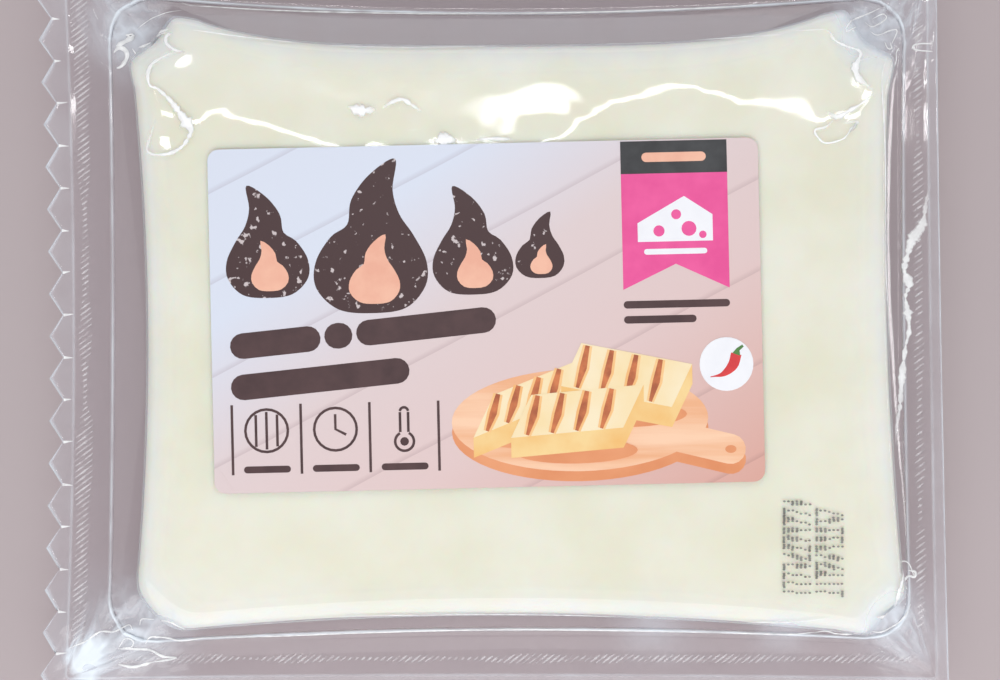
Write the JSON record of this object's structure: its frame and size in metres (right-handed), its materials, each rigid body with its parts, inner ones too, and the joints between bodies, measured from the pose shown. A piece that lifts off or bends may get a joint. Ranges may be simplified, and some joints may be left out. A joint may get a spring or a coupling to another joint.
{
  "type": "vacuum-packed grilling cheese",
  "caption": "Flat block of grilling cheese sealed in clear thermoformed film with a zigzag cut edge, with a paper label on its face.",
  "frame": {"origin": "middle of the film's outline at the height of the pack's flat back, which lies on the table", "axes": "+X along the long side, from the zigzag edge on the left to the straight edge on the right; +Y up the label; +Z out of the label"},
  "size_m": [0.152, 0.1254, 0.0176],
  "materials": {
    "film_and_cheese": "cream cheese under tight glossy clear film; the film alone round it is clear",
    "label_paper": "coated paper sticker, print fading from bluish white to pale salmon"
  },
  "bodies": {
    "root": {"sealed_pack": "film_and_cheese", "label": "label_paper"}
  },
  "joints": []
}
